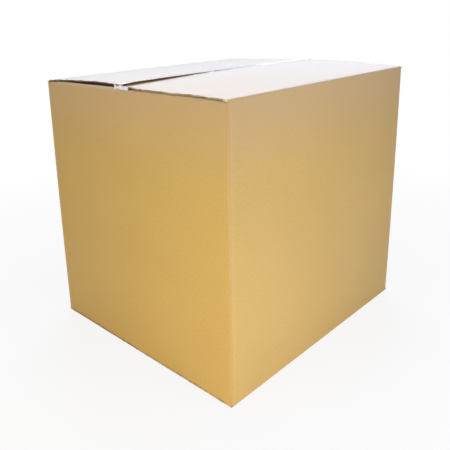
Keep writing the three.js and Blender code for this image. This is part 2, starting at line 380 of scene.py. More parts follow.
def fold_wear_and_light(s, t):
    """Paleness and darkening at the folds: above 0 the liner is paler, partly stretched and scuffed and
    partly a painted highlight on the crests; below 0 it is darker.
    """
    gap = from_corner(s)
    # Upright folds: a faint pale line each side, partly a painted highlight, and a darker middle
    upright = hump(gap, UPRIGHT_RUB_AND_HIGHLIGHT) - hump(gap, UPRIGHT_DARK)
    run = run_of_walls(s)
    on_end_wall = (run == SOUTH) | (run == NORTH)
    middle = (STARTS[SOUTH] + STARTS[SOUTH + 1]) / 2
    under_near_flap = smooth(0, 50 * MM, s - middle) * (run == SOUTH)
    # Painted highlight on the top folds' crests, with scuffing; less on the end wall's fold under the near
    # flap
    end_level = hump(t, END_FOLD_RUB_AND_HIGHLIGHT) * (1 - NEAR_FLAP_COVER * under_near_flap)
    level = np.where(on_end_wall, end_level, hump(t, SIDE_FOLD_RUB_AND_HIGHLIGHT))
    return np.where(level > 0.1, np.maximum(upright, level), upright)


def slit_pinch(from_low, from_high, past, crush):
    """The slitting knives crush the board beside its cuts: the share of its thickness that is left."""
    close = 1 - smooth(0, SLIT_BAND, np.minimum(from_low, from_high))
    return 1 - crush * close * smooth(ARC, ARC + SLIT_EASE, past)


class Sheet:
    """Collects faces, with the sheet's own coordinates kept at each corner for the materials."""

    def __init__(self):
        self.points, self.faces, self.slots, self.coords, self.wear_and_light = [], [], [], [], []
        self.count = 0

    def grid(self, points, s, t, slot, flip=False, wear_and_light=None):
        rows, columns = points.shape[:2]
        base = self.count
        self.points.append(points.reshape(-1, 3))
        flat = np.stack([np.broadcast_to(s, (rows, columns)), np.broadcast_to(t, (rows, columns))], -1)
        self.coords.append(flat.reshape(-1, 2))
        worn_and_lit = fold_wear_and_light(flat[..., 0], flat[..., 1]) if wear_and_light is None else wear_and_light
        self.wear_and_light.append(np.broadcast_to(worn_and_lit, (rows, columns)).ravel())
        index = base + np.arange(rows * columns).reshape(rows, columns)
        a, b, c, d = index[:-1, :-1], index[1:, :-1], index[1:, 1:], index[:-1, 1:]
        quads = np.stack([a, b, c, d] if not flip else [a, d, c, b], -1).reshape(-1, 4)
        self.faces.append(quads)
        self.slots.append(np.full(len(quads), slot))
        self.count += rows * columns

    def build(self, name, materials):
        mesh = bpy.data.meshes.new(name)
        points = np.concatenate(self.points)
        faces = np.concatenate(self.faces)
        coords = np.concatenate(self.coords)
        mesh.from_pydata(points.tolist(), [], faces.tolist())
        mesh.polygons.foreach_set("material_index", np.concatenate(self.slots).astype(np.int32))
        layer = mesh.attributes.new("sheet", "FLOAT_VECTOR", "POINT")
        layer.data.foreach_set("vector", np.concatenate([coords, np.zeros((len(coords), 1))], 1).ravel())
        wear_and_light = mesh.attributes.new("wear_and_light", "FLOAT", "POINT")
        wear_and_light.data.foreach_set("value", np.concatenate(self.wear_and_light))
        mesh.polygons.foreach_set("use_smooth", [True] * len(mesh.polygons))
        for material in materials:
            mesh.materials.append(material)
        piece = bpy.data.objects.new(name, mesh)
        bpy.context.scene.collection.objects.link(piece)
        return piece


LINER_SLOT, EDGE_SLOT, FLUTE_SLOT, INNER_SLOT = 0, 1, 2, 3


def nicks(places, t):
    """Depth of the small tears in a flap's front end, at distances t up the flap from its fold."""
    total = np.zeros_like(t)
    for centre, width, size in places:
        total = total + size * bell(t, centre, width)
    return total


def ragged(seed, place, size):
    """How far a slit edge is torn back or crushed, along its length."""
    coarse = waves(seed, place, 0 * place, COARSE_TEAR_LENGTH, 4)
    fine = waves(seed + 1, place, 0 * place, FINE_TEAR_LENGTH, 3)
    return size * np.clip(0.35 * coarse + 0.65 * fine, -1, 1)


def add_faces(sheet, patch):
    """The outer and inner faces of a patch of wall."""
    s, t = np.meshgrid(patch.s_lines, patch.t_lines)
    sheet.grid(patch.place(s, t), s, t, LINER_SLOT, flip=True)
    sheet.grid(patch.place(s, t, BOARD), s, t, INNER_SLOT)


def add_plain_rim(sheet, patch, s, t, flip, keep=None):
    """A closed edge, through the board's thickness, along the line of points (s, t)."""
    s_real, t_real = (s, t) if keep is None else keep(s, t)
    rows = [patch.place(s_real, t_real, depth) for depth in (0, LINER, BOARD / 2, BOARD - LINER, BOARD)]
    sheet.grid(np.array(rows), s, t, EDGE_SLOT, flip)


def add_open_rim(sheet, patch, s, t, step, flip, keep=None, depth_in=GROOVE, wear_and_light=0.0):
    """A cut edge: the two liners' edges, and the groove between them that the flutes stand in.

    step is the direction in (s, t) that leads into the board.
    """
    outer_liner = [(0, 0), (LINER, 0), (LINER, depth_in)]
    inner_liner = [(BOARD - LINER, depth_in), (BOARD - LINER, 0), (BOARD, 0)]
    s_real, t_real = (s, t) if keep is None else keep(s, t)
    rows = []
    for depth, inward in outer_liner + inner_liner:
        rows.append(patch.place(s_real + step[0] * inward, t_real + step[1] * inward, depth))
    sheet.grid(np.array(rows), s, t, EDGE_SLOT, flip, wear_and_light)


def flute_depth(s):
    swing = BOARD / 2 - LINER - MEDIUM / 2
    return BOARD / 2 + swing * np.cos(math.tau * s / FLUTE_PITCH)


def add_flutes(sheet, patch, s, t):
    """The fluted medium over the grid s by t, as a thin ribbon with two faces."""
    s_grid, t_grid = np.meshgrid(s, t)
    for side, flip in ((-1, True), (1, False)):
        depth = flute_depth(s_grid) + side * MEDIUM / 2
        sheet.grid(patch.place(s_grid, t_grid, depth), s_grid, t_grid, FLUTE_SLOT, flip)


# The lines of the grid

def lines_between(low, high, cell=CELL):
    return np.linspace(low, high, max(2, int(round((high - low) / cell)) + 1))


def wall_lines(run):
    """Lines along one wall: close together beside its folds, where the board is crushed, then even."""
    start, end = STARTS[run], STARTS[run + 1]
    near = np.array([0, 1.2, 2.4, 3.6, 4.8, 6, 7.2, 8.4, 10, 12]) * MM
    middle = lines_between(start + near[-1], end - near[-1])
    return np.concatenate([start + near[:-1], middle, (end - near[:-1])[::-1]])


def fold_lines(run):
    return np.linspace(STARTS[run], STARTS[run + 1], ARC_STEPS + 1)


def run_of_walls(s):
    return np.clip(np.searchsorted(STARTS, s, side="right") - 1, 0, len(RUNS) - 1)


def flap_t_lines(start, end, cell=CELL):
    """Lines up or down a flap: its fold, then close to the fold and to the free edge, then even."""
    arc = np.linspace(0, ARC, ARC_STEPS + 1)
    tail = np.array([1.5, 4, 8]) * MM
    first, last = ARC, ARC + FLAP_DEPTH - FOLD_RADIUS
    middle = lines_between(first + tail[-1], last - tail[-1], cell)
    places = np.concatenate([arc, first + tail[:-1], middle, (last - tail[:-1])[::-1], [last]])
    return start + end * places


# The pieces of the blank

# Tears in the outer top flaps' front ends: distance from the fold, width and depth
FRONT_NICKS = {
    WEST: ((140 * MM, 3 * MM, 3.5 * MM), (150 * MM, 5 * MM, 1.5 * MM), (228 * MM, 7 * MM, 1.5 * MM)),
    EAST: ((98 * MM, 6 * MM, 2 * MM), (118 * MM, 4 * MM, 1.6 * MM), (171 * MM, 5 * MM, 2.2 * MM),
           (205 * MM, 7 * MM, 1.8 * MM), (230 * MM, 4 * MM, 2.5 * MM)),
}

TOP_START = END_WALL_TOP - FOLD_RADIUS
BOTTOM_START = INNER_BASE + FOLD_RADIUS


def add_walls(sheet):
    s = np.unique(np.concatenate([wall_lines(run) if run % 2 == 0 else fold_lines(run) for run in range(8)]))
    near = np.array([0, 3, 7, 12]) * MM
    middle = lines_between(BOTTOM_START + near[-1], TOP_START - near[-1], 2 * CELL)
    t = np.concatenate([BOTTOM_START + near[:-1], middle, (TOP_START - near[:-1])[::-1]])
    patch = Patch(s, t, run_of_walls)
    add_faces(sheet, patch)
    add_open_rim(sheet, patch, np.full_like(t, s[0]), t, (1, 0), True, depth_in=JOINT_GROOVE)
    add_plain_rim(sheet, patch, np.full_like(t, s[-1]), t, False)
    return s


def add_tab(sheet):
    """The glued tab inside the -X wall. It is hidden, so it stays plain."""
    low, high = BOTTOM_START + TAB_SHORT, TOP_START - TAB_SHORT
    x = np.array([-HALF_WIDTH + BOARD, -HALF_WIDTH + 2 * BOARD])
    y = np.array([HALF_LENGTH - FOLD_RADIUS, HALF_LENGTH - TAB_WIDTH])
    outline = [(y[0], low), (y[1], low + TAB_TAPER), (y[1], high - TAB_TAPER), (y[0], high)]
    loop = outline + outline[:1]
    rim = np.array([[(side, *corner) for corner in loop] for side in x])
    sheet.grid(rim, 0.0, 0.0, EDGE_SLOT)
    for side, flip in ((x[0], True), (x[1], False)):
        quad = np.array([[outline[0], outline[1]], [outline[3], outline[2]]])
        face = np.concatenate([np.full((2, 2, 1), side), quad], axis=2)
        sheet.grid(face, quad[..., 0], quad[..., 1], LINER_SLOT, flip)


def corner_posts(sheet, s_all):
    """The walls' tops and bottoms between the inner flaps' slots, up to where the slots stop."""
    south = STARTS[SOUTH] + INNER_FLAP_INSET - FOLD_RADIUS
    south_end = STARTS[SOUTH + 1] - INNER_FLAP_INSET + FOLD_RADIUS
    north = STARTS[NORTH] + INNER_FLAP_INSET - FOLD_RADIUS
    north_end = STARTS[NORTH + 1] - INNER_FLAP_INSET + FOLD_RADIUS
    spans = [(STARTS[0], south), (south_end, north), (north_end, STARTS[-1])]
    for low, high in spans:
        inside = s_all[(s_all > low + CLOSE) & (s_all < high - CLOSE)]
        s = np.concatenate([[low], inside, [high]])
        for t0, t1 in ((TOP_START, END_WALL_TOP - SLOT_STOP), (BOTTOM_START, INNER_BASE + SLOT_STOP)):
            t = np.linspace(min(t0, t1), max(t0, t1), 3)
            patch = Patch(s, t, run_of_walls)
            add_faces(sheet, patch)
            for edge, flip in ((s[0], True), (s[-1], False)):
                add_plain_rim(sheet, patch, np.full_like(t, edge), t, flip)
            free = t[-1] if t1 > t0 else t[0]
            add_plain_rim(sheet, patch, s, np.full_like(s, free), t1 > t0)


CRESTS = {(1, True): OUTER_TOP, (1, False): END_WALL_TOP, (-1, True): BASE, (-1, False): INNER_BASE}


def flap_span(run, outer):
    """Where a flap starts and ends along the sheet."""
    # The west wall starts at its cut edge, and the north wall ends at the tab's fold.
    low = STARTS[run] - (JOINT_SETBACK if run == WEST else FOLD_RADIUS)
    high = STARTS[run + 1] + FOLD_RADIUS + (BOARD if run == NORTH else 0)
    inset = OUTER_FLAP_INSET if outer else INNER_FLAP_INSET
    return low + inset, high - inset


def flap_patch(run, end, outer, span):
    s0, s1 = span
    lines = wall_lines(run)
    s = np.concatenate([[s0], lines[(lines > s0 + CLOSE) & (lines < s1 - CLOSE)], [s1]])
    sprung = outer and end > 0
    crest = CRESTS[end, outer]
    t = flap_t_lines(crest - end * FOLD_RADIUS, end, FINE_CELL if sprung else 2 * CELL)
    patch = Patch(s, t, lambda values: np.full(values.shape, run), end, crest, sprung)
    if outer:
        join = END_WALL_TOP - SLOT_STOP if end > 0 else INNER_BASE + SLOT_STOP
        patch.t_lines = np.concatenate([[join], t])
        crush = FAR_CRUSH if run == WEST else NEAR_CRUSH
        patch.pinch = lambda s_values, t_values: slit_pinch(
            s_values - s0, s1 - s_values, (t_values - patch.start) * end, crush)
    return patch


def torn_ends(patch, run, span):
    """A function that pulls the flap's slit ends back where they are torn, past its fold only."""
    s0, s1 = span
    tear = TEAR if patch.sprung else SMALL_TEAR
    torn = FRONT_NICKS[run] if patch.sprung else ()
    front_is_low = run == EAST

    def keep(s, t):
        free = smooth(ARC, ARC + TEAR_EASE, (t - patch.start) * patch.end)
        at_low = np.clip(1 - (s - s0) / TEAR_REACH, 0, 1)
        at_high = np.clip(1 - (s1 - s) / TEAR_REACH, 0, 1)
        front_nicks = nicks(torn, t - patch.start)
        low_tear = tear / 2 + ragged(31 + run, t, tear) + front_nicks * front_is_low
        high_tear = tear / 2 + ragged(67 + run, t, tear) + front_nicks * (not front_is_low)
        return s + free * (at_low * low_tear - at_high * high_tear), t

    return keep


def add_open_edges(sheet, patch, run, span, keep):
    """An outer flap's cut edges, with the flutes between the liners."""
    s, t, end = patch.s_lines, patch.t_lines, patch.end
    upper = end > 0
    add_open_rim(sheet, patch, s, np.full_like(s, t[-1]), (0, -end), upper, keep)
    # The cut edges are paler near the folds, and painted lighter where they lie in shade: along the bottom
    # rims and the near flap's ends
    least = NEAR_EDGE_PAINTED_LIGHT * (run == EAST) if upper else BOTTOM_EDGE_PAINTED_LIGHT
    lightened = np.maximum(bell(t, patch.start, CORNER_PALE_REACH) * upper, least)
    groove = DEEP_GROOVE if upper and run == WEST else CRUSHED_GROOVE
    for edge, step, flip in ((s[0], (1, 0), upper), (s[-1], (-1, 0), not upper)):
        add_open_rim(sheet, patch, np.full_like(t, edge), t, step, flip, keep, groove, lightened)
    fine_s = np.arange(span[0] + FLUTE_INSET, span[1] - FLUTE_INSET, FLUTE_PITCH / FLUTE_STEPS)
    add_flutes(sheet, patch, fine_s, t[-1] - end * np.array([GROOVE, GROOVE / 2, LINER]))
    past_fold = t[ARC_STEPS + 1:-3]
    for place, inward in ((span[0] + FLUTE_START, 1), (span[1] - FLUTE_START, -1)):
        strip = place + inward * np.linspace(0, FLUTE_STRIP, 5)
        add_flutes(sheet, patch, np.sort(strip), past_fold)


def add_flap(sheet, run, end, outer):
    """One flap with its fold. The outer flaps have open flutes at their cut edges."""
    span = flap_span(run, outer)
    patch = flap_patch(run, end, outer, span)
    keep = torn_ends(patch, run, span)
    upper = end > 0
    s, t = patch.s_lines, patch.t_lines
    s_grid, t_grid = np.meshgrid(s, t)
    s_real, t_real = keep(s_grid, t_grid)
    sheet.grid(patch.place(s_real, t_real), s_grid, t_grid, LINER_SLOT, flip=upper)
    sheet.grid(patch.place(s_real, t_real, BOARD), s_grid, t_grid, INNER_SLOT, flip=not upper)
    if outer:
        add_open_edges(sheet, patch, run, span, keep)
        return
    add_plain_rim(sheet, patch, s, np.full_like(s, t[-1]), upper, keep)
    for edge, flip in ((s[0], upper), (s[-1], not upper)):
        add_plain_rim(sheet, patch, np.full_like(t, edge), t, flip, keep)


def carton_board(materials):
    sheet = Sheet()
    s_all = add_walls(sheet)
    add_tab(sheet)
    corner_posts(sheet, s_all)
    for end in (1, -1):
        for run in (WEST, EAST):
            add_flap(sheet, run, end, outer=True)
        for run in (SOUTH, NORTH):
            add_flap(sheet, run, end, outer=False)
    return sheet.build("carton_board", materials)


# The tape

def tape_level(x, y):
    """The flaps' upper side as the tape lies on it: it slopes from the higher flap to the lower."""
    over = top_height(np.where(np.abs(x) < 1 * MM, -1 * MM, x), y)
    far = top_height(np.full_like(x, -SEAM_GAP), y)
    near = top_height(np.full_like(x, SEAM_GAP), y)
    step = far - near
    lower = np.where(step > 0, x > 0, x < 0)
    slope = np.clip(1 - np.abs(x) / TAPE_BRIDGE, 0, 1) * lower
    return np.maximum(over, np.where(lower, np.minimum(far, near), 0)) + np.abs(step) * slope


def tape_points(x, v, lift):
    """The tape's place at x across and v along, v = 0 at the middle of the top."""
    face = HALF_LENGTH + TAPE_GAP
    bend = TAPE_BEND
    side = np.sign(v)
    y_top = np.clip(v, -(face - bend), face - bend)
    level = tape_level(x, y_top) + TAPE_GAP
    past = np.abs(v) - (face - bend)
    angle = np.clip(past / bend, 0, QUARTER)
    share = np.clip(past - bend * QUARTER, 0, None) / TAIL_RUN
    down = share * (level - bend - (END_WALL_TOP - TAPE_TAIL))
    radius = bend + lift
    y = side * np.where(past > 0, face - bend + radius * np.sin(angle), np.abs(y_top))
    z = level - bend + radius * np.cos(angle) - down
    return np.stack([x, y, z], -1)


def top_tape(material):
    """A film with two faces, closed round its edges, with fine puckers where it isn't stuck down."""
    half = TAPE_WIDTH / 2
    x = np.linspace(-half, half, 25)
    top_end = HALF_LENGTH + TAPE_GAP - TAPE_BEND
    bend_end = top_end + TAPE_BEND * QUARTER
    tail = np.concatenate([np.linspace(bend_end, bend_end + TAPE_CROSSING, 15)[1:],
                           np.linspace(bend_end + TAPE_CROSSING, bend_end + TAIL_RUN, 12)[1:]])
    side = np.concatenate([np.linspace(top_end, bend_end, 6), tail])
    v = np.concatenate([-side[::-1], np.linspace(-top_end, top_end, 90)[1:-1], side])
    x_grid, v_grid = np.meshgrid(x, v)
    wander = waves(91, v_grid, 0 * v_grid, 0.05, 4)
    sheet = Sheet()
    # Near each bend the film isn't stuck down, and puckers
    zone_mask = 1 - smooth(0, 3 * MM, np.abs(np.abs(v_grid) - top_end - 4 * MM) - 4 * MM)
    pucker = PUCKER * zone_mask * (1 + waves(17, x_grid, v_grid, PUCKER_LENGTH, 3))
    bubble = BUBBLE * np.clip(waves(23, x_grid, v_grid * 0.3, BUBBLE_LENGTH, 4), 0, 1)
    under = tape_points(x_grid, v_grid, pucker + bubble)
    under[..., 0] += EDGE_WANDER * wander * smooth(0.8 * half, half, np.abs(x_grid))
    over = tape_points(x_grid, v_grid, pucker + bubble + TAPE_THICKNESS)
    over[..., 0] = under[..., 0]
    cloud_and_glare = tape_cloud_and_glare(x_grid, v_grid, over[..., 2], top_end)
    add_film(sheet, under, over, x_grid, v_grid, cloud_and_glare)
    return sheet.build("seal_tape_top", [material])


def tape_cloud_and_glare(x, v, z, top_end):
    """Where the film is painted cloudy white: a little at its cut edges; over the end wall's top, cloudy
    where it isn't stuck down, with a painted highlight on its bend and left edge; and a painted glare band
    along the back of the seam.

    From 0 to 0.5 it is cloudy at low angles, and above 0.5 from all sides. Below 0 it is clear, with a
    painted bluish
    reflection at low angles: over the seam's middle.
    """
    half = TAPE_WIDTH / 2
    on_wall = smooth(0, 1 * MM, np.abs(v) - top_end)
    crossing = on_wall * smooth(*CROSSING, z)
    rim = smooth(half - FILM_RIM[0], half - FILM_RIM[1], np.abs(x))
    # The cut edges are a little cloudy; over the end wall's top they are painted bright as a highlight, the
    # left edge most
    edge = rim * (0.05 + 0.75 * crossing) * np.where(x < 0, 1, 0.6)
    # Painted highlight down the left edge over the end wall's top
    left_edge_glare = crossing * (1 - smooth(*LEFT_EDGE_GLARE, x + half))
    # Painted highlight on the film's bend over the end wall's top
    bent = on_wall * bell(z, END_WALL_TOP + 5 * MM, 4.5 * MM)
    # Cloudy wrinkles where the film isn't stuck down over the end wall's top, painted bright as glare
    creases_and_glare = crossing * np.clip(0.6 + 0.4 * waves(29, x, z, CREASE_LENGTH, 3), 0, 1) * (x > -6 * MM)
    # A painted glare band along the back of the seam, on the top only
    zone_mask = 0.48 * smooth(GLARE_FROM, GLARE_FULL, v) * (1 - on_wall) * smooth(half, half - 6 * MM, np.abs(x))
    # A painted bluish reflection over the seam's middle
    blue_glance = smooth(*BLUE_GLANCE_RISE, v) * smooth(*BLUE_GLANCE_FALL, v) * bell(x, 2 * MM, 6 * MM)
    return np.clip(edge + left_edge_glare + bent + creases_and_glare + zone_mask, 0, 1) - 0.8 * blue_glance


def add_film(sheet, under, over, x, v, cloud_and_glare):
    """The film's two faces and its thin edges."""
    sheet.grid(over, x, v, 0, wear_and_light=cloud_and_glare)
    sheet.grid(under, x, v, 0, flip=True, wear_and_light=cloud_and_glare)
    for row in (0, -1):
        sheet.grid(np.array([over[row], under[row]]), x[row], v[row], 0, flip=row == 0, wear_and_light=1.0)
    for column in (0, -1):
        band = np.array([over[:, column], under[:, column]])
        sheet.grid(band, x[:, column], v[:, column], 0, flip=column == -1, wear_and_light=1.0)


def bottom_tape(material):
    half, reach = TAPE_WIDTH / 2, HALF_LENGTH - OUTER_FLAP_INSET
    x = np.linspace(-half, half, 9)
    y = np.linspace(-reach, reach, 60)
    x_grid, y_grid = np.meshgrid(x, y)
    top = BASE - BOTTOM_FILM
    low = BOTTOM_FILM_LOW + BOTTOM_FILM * waves(41, x_grid, y_grid, 30 * MM, 4)
    under = np.stack([x_grid, y_grid, low], -1)
    over = np.stack([x_grid, y_grid, np.full_like(x_grid, top)], -1)
    sheet = Sheet()
    add_film(sheet, over, under, x_grid, y_grid, 0.0)
    return sheet.build("seal_tape_bottom", [material])


# Materials

# Colours, as sRGB of 0 to 255
KRAFT = ((209, 173, 97), (213, 177, 101))
PALE_FIBRE = (228, 194, 126)
DARK_GRAIN = (178, 136, 70)
DARK_MOTTLE = (196, 156, 83)
# Painted cooler light high on the walls
COOL_LIGHT_HIGH = (202, 169, 128)
SPECK = (120, 82, 44)
# The darker middle of the upright folds
FOLD_DARK = (180, 140, 82)
# Pale fold colours: partly scuffed liner, partly a painted highlight on the folds' crests
RUB_AND_HIGHLIGHT = ((255, 228, 172), (255, 246, 228))
# Inner paper, partly painted darker as the shade inside the carton and under the flaps
INNER_KRAFT_AND_SHADE = ((128, 98, 62), (158, 124, 82))
INNER_FLUTE = (140, 108, 70)
CUT_EDGE = ((138, 104, 54), (196, 158, 96))
# Paler cut edge: near the folds, and painted light on the edges that lie in shade
CUT_EDGE_PALE = (252, 230, 196)
SHRED = (122, 78, 34)
FLUTE = ((180, 142, 90), (206, 168, 116))
FILM = ((194, 144, 94), (202, 160, 112))
# Painted bluish reflection on the film
FILM_BLUE_GLANCE = (70, 100, 176)
# Cloudy film, and painted glare on the film
FILM_CLOUD_AND_GLARE = (250, 251, 253)
FLOOR = ((247, 247, 247), (250, 250, 250))

# Texture scales, in features to the metre
FIBRE_SCALE = 420.0
FIBRE_STRETCH = (1.0, 0.35, 1.0)  # the fibres lie along the flutes
FLUTE_BANDS = math.pi / 10 / FLUTE_PITCH


def new_material(name):
    material = bpy.data.materials.new(name)
    material.use_nodes = True
    tree = material.node_tree
    tree.nodes.clear()
    output = tree.nodes.new("ShaderNodeOutputMaterial")
    shader = tree.nodes.new("ShaderNodeBsdfPrincipled")
    tree.links.new(shader.outputs["BSDF"], output.inputs["Surface"])
    return material, tree, shader


def surface_of(tree):
    """The socket that the material's shader goes into."""
    return next(item for item in tree.nodes if item.type == "OUTPUT_MATERIAL").inputs["Surface"]


def linear(colour):
    """An sRGB colour of 0 to 255 as linear light, with alpha."""
    values = []
    for value in colour:
        share = value / 255
        values.append(share / 12.92 if share <= 0.04045 else ((share + 0.055) / 1.055) ** 2.4)
    return (*values, 1.0)


def node(tree, kind, inputs=None, **settings):
    made = tree.nodes.new("ShaderNode" + kind)
    for name, value in settings.items():
        setattr(made, name, value)
    for name, value in (inputs or {}).items():
        if isinstance(value, bpy.types.NodeSocket):
            tree.links.new(value, made.inputs[name])
        else:
            made.inputs[name].default_value = value
    return made


def sheet_place(tree):
    return node(tree, "Attribute", attribute_name="sheet").outputs["Vector"]


def scaled(tree, vector, scale):
    return node(tree, "Mapping", {"Vector": vector, "Scale": scale}).outputs["Vector"]


def noise(tree, vector, scale, detail=3.0, roughness=0.55):
    inputs = {"Vector": vector, "Scale": scale, "Detail": detail, "Roughness": roughness}
    return node(tree, "TexNoise", inputs).outputs["Fac"]


def fibre_noise(tree, place):
    return noise(tree, scaled(tree, place, FIBRE_STRETCH), FIBRE_SCALE, 4.0, 0.65)


def flute_bands(tree, place):
    """Bands with the pitch of the flutes, which show faintly through the liners."""
    inputs = {"Vector": place, "Scale": FLUTE_BANDS}
    return node(tree, "TexWave", inputs, wave_type="BANDS", bands_direction="X").outputs["Fac"]


def wear_and_light_value(tree):
    return node(tree, "Attribute", attribute_name="wear_and_light").outputs["Fac"]


def levels(tree, value, low, high, out_low=0.0, out_high=1.0):
    made = node(tree, "MapRange", {"Value": value, "From Min": low, "From Max": high,
                                   "To Min": out_low, "To Max": out_high})
    return made.outputs["Result"]


def mixed(tree, share, first, second, blend="MIX"):
    made = node(tree, "Mix", data_type="RGBA", blend_type=blend)
    for socket, value in ((made.inputs[0], share), (made.inputs[6], first), (made.inputs[7], second)):
        if isinstance(value, bpy.types.NodeSocket):
            tree.links.new(value, socket)
        else:
            socket.default_value = value
    return made.outputs[2]


def math_node(tree, operation, first, second):
    made = node(tree, "Math", operation=operation)
    for socket, value in zip(made.inputs, (first, second)):
        if isinstance(value, bpy.types.NodeSocket):
            tree.links.new(value, socket)
        else:
            socket.default_value = value
    return made.outputs[0]


def times(tree, first, second):
    return math_node(tree, "MULTIPLY", first, second)


def larger(tree, first, second):
    return math_node(tree, "MAXIMUM", first, second)


def smaller(tree, first, second):
    return math_node(tree, "MINIMUM", first, second)


def bumped(tree, shader, height, strength, distance):
    bump = node(tree, "Bump", {"Height": height, "Strength": strength, "Distance": distance})
    tree.links.new(bump.outputs["Normal"], shader.inputs["Normal"])


def kraft_colour(tree, place, fibres):
    """The clean liner: patchy tone, pale fibres, dark grain, and a cooler, greyer band high on the walls,
    painted for the light from above.
    """
    patches = noise(tree, place, 5.0, 3.0)
    grain = noise(tree, place, 1100.0, 2.0)
    mottle = noise(tree, place, 300.0, 3.0, 0.6)
    colour = mixed(tree, levels(tree, patches, 0.35, 0.65), linear(KRAFT[0]), linear(KRAFT[1]))
    colour = mixed(tree, levels(tree, fibres, 0.5, 0.78, 0.0, 0.55), colour, linear(PALE_FIBRE))
    colour = mixed(tree, levels(tree, grain, 0.5, 0.25, 0.0, 0.45), colour, linear(DARK_GRAIN))
    colour = mixed(tree, levels(tree, mottle, 0.42, 0.62, 0.0, 0.4), colour, linear(DARK_MOTTLE))
    # A cooler, greyer band high on the walls: painted light from above
    up = node(tree, "SeparateXYZ", {"Vector": place}).outputs["Y"]
    painted_cool_light = times(tree, levels(tree, up, 0.44, 0.6, 0.0, 0.7), levels(tree, up, 0.625, 0.6))
    return mixed(tree, painted_cool_light, colour, linear(COOL_LIGHT_HIGH))


def with_specks(tree, place, colour):
    specks = node(tree, "TexVoronoi", {"Vector": place, "Scale": 60.0, "Randomness": 1.0})
    speck = levels(tree, specks.outputs["Distance"], 0.05, 0.02)
    red = node(tree, "SeparateColor", {"Color": specks.outputs["Color"]}).outputs["Red"]
    chance = levels(tree, red, 0.86, 0.87)
    return mixed(tree, times(tree, times(tree, speck, chance), 0.55), colour, linear(SPECK))


def with_wear_and_light(tree, place, colour):
    """Darker where the value is below 0; paler where it is above, partly scuffed liner and partly a painted
    highlight.
    """
    wear_and_light = wear_and_light_value(tree)
    # Darker along the middle of the upright folds
    dark_share = times(tree, larger(tree, times(tree, wear_and_light, -1.0), 0.0), 0.8)
    colour = mixed(tree, dark_share, colour, linear(FOLD_DARK))
    patchy = levels(tree, noise(tree, place, 45.0, 4.0), 0.25, 0.6, 0.7, 1.0)
    # Paler at the folds, partly scuffed liner and partly a painted highlight on their crests
    pale = mixed(tree, levels(tree, wear_and_light, 0.55, 0.95), linear(RUB_AND_HIGHLIGHT[0]), linear(RUB_AND_HIGHLIGHT[1]))
    return mixed(tree, times(tree, larger(tree, wear_and_light, 0.0), patchy), colour, pale)


def kraft_liner():
    """Brown kraft paper: fibres, flecks, faint flute lines, patchy tone, and a rough matt face."""
    material, tree, shader = new_material("kraft liner")
    place = sheet_place(tree)
    fibres = fibre_noise(tree, place)
    # The folds' paleness is partly a painted highlight
    colour = with_wear_and_light(tree, place, with_specks(tree, place, kraft_colour(tree, place, fibres)))
    tree.links.new(colour, shader.inputs["Base Color"])
    tree.links.new(levels(tree, fibres, 0.3, 0.7, 0.58, 0.46), shader.inputs["Roughness"])
    paper = math_node(tree, "ADD", times(tree, fibres, 0.5), times(tree, noise(tree, place, 60.0, 3.0), 0.8))
    height = math_node(tree, "ADD", times(tree, flute_bands(tree, place), 0.35), paper)
    bumped(tree, shader, height, 0.35, 0.12 * MM)
    shader.inputs["Specular IOR Level"].default_value = 0.2
    shader.inputs["Sheen Weight"].default_value = 0.7
    shader.inputs["Sheen Roughness"].default_value = 0.3
    shader.inputs["Sheen Tint"].default_value = (0.86, 0.92, 1.0, 1.0)
    return material


def inner_liner():
    """The inside of the board: a duller, greyer paper with the flutes showing through, painted darker also
    for the shade inside the carton and under the flaps.
    """
    material, tree, shader = new_material("inner liner")
    place = sheet_place(tree)
    fibres = fibre_noise(tree, place)
    flutes = flute_bands(tree, place)
    colour = mixed(tree, levels(tree, fibres, 0.3, 0.7), linear(INNER_KRAFT_AND_SHADE[0]), linear(INNER_KRAFT_AND_SHADE[1]))
    colour = mixed(tree, times(tree, flutes, 0.3), colour, linear(INNER_FLUTE))
    tree.links.new(colour, shader.inputs["Base Color"])
    shader.inputs["Roughness"].default_value = 0.85
    bumped(tree, shader, math_node(tree, "ADD", times(tree, flutes, 0.6), fibres), 0.4, 0.15 * MM)
    return material


def raw_edge():
    """The cut edge of the liners, and the shade inside the board: darker, rougher brown, shredded."""
    material, tree, shader = new_material("raw edge")
    place = sheet_place(tree)
    fibres = noise(tree, place, 700.0, 4.0, 0.7)
    colour = mixed(tree, levels(tree, fibres, 0.3, 0.7), linear(CUT_EDGE[0]), linear(CUT_EDGE[1]))
    # Paler near the folds, and painted light on the edges that lie in shade
    colour = mixed(tree, larger(tree, wear_and_light_value(tree), 0.0), colour, linear(CUT_EDGE_PALE))
    shreds = noise(tree, place, 110.0, 3.0, 0.6)
    colour = mixed(tree, levels(tree, shreds, 0.5, 0.62, 0.0, 0.6), colour, linear(SHRED))
    tree.links.new(colour, shader.inputs["Base Color"])
    shader.inputs["Roughness"].default_value = 0.9
    bumped(tree, shader, fibres, 0.5, 0.3 * MM)
    return material


def flute_paper():
    """The fluted medium: thin, grey-brown and rough."""
    material, tree, shader = new_material("flute paper")
    fibres = noise(tree, sheet_place(tree), 900.0, 4.0, 0.7)
    colour = mixed(tree, levels(tree, fibres, 0.3, 0.7), linear(FLUTE[0]), linear(FLUTE[1]))
    tree.links.new(colour, shader.inputs["Base Color"])
    shader.inputs["Roughness"].default_value = 0.92
    bumped(tree, shader, fibres, 0.4, 0.2 * MM)
    return material


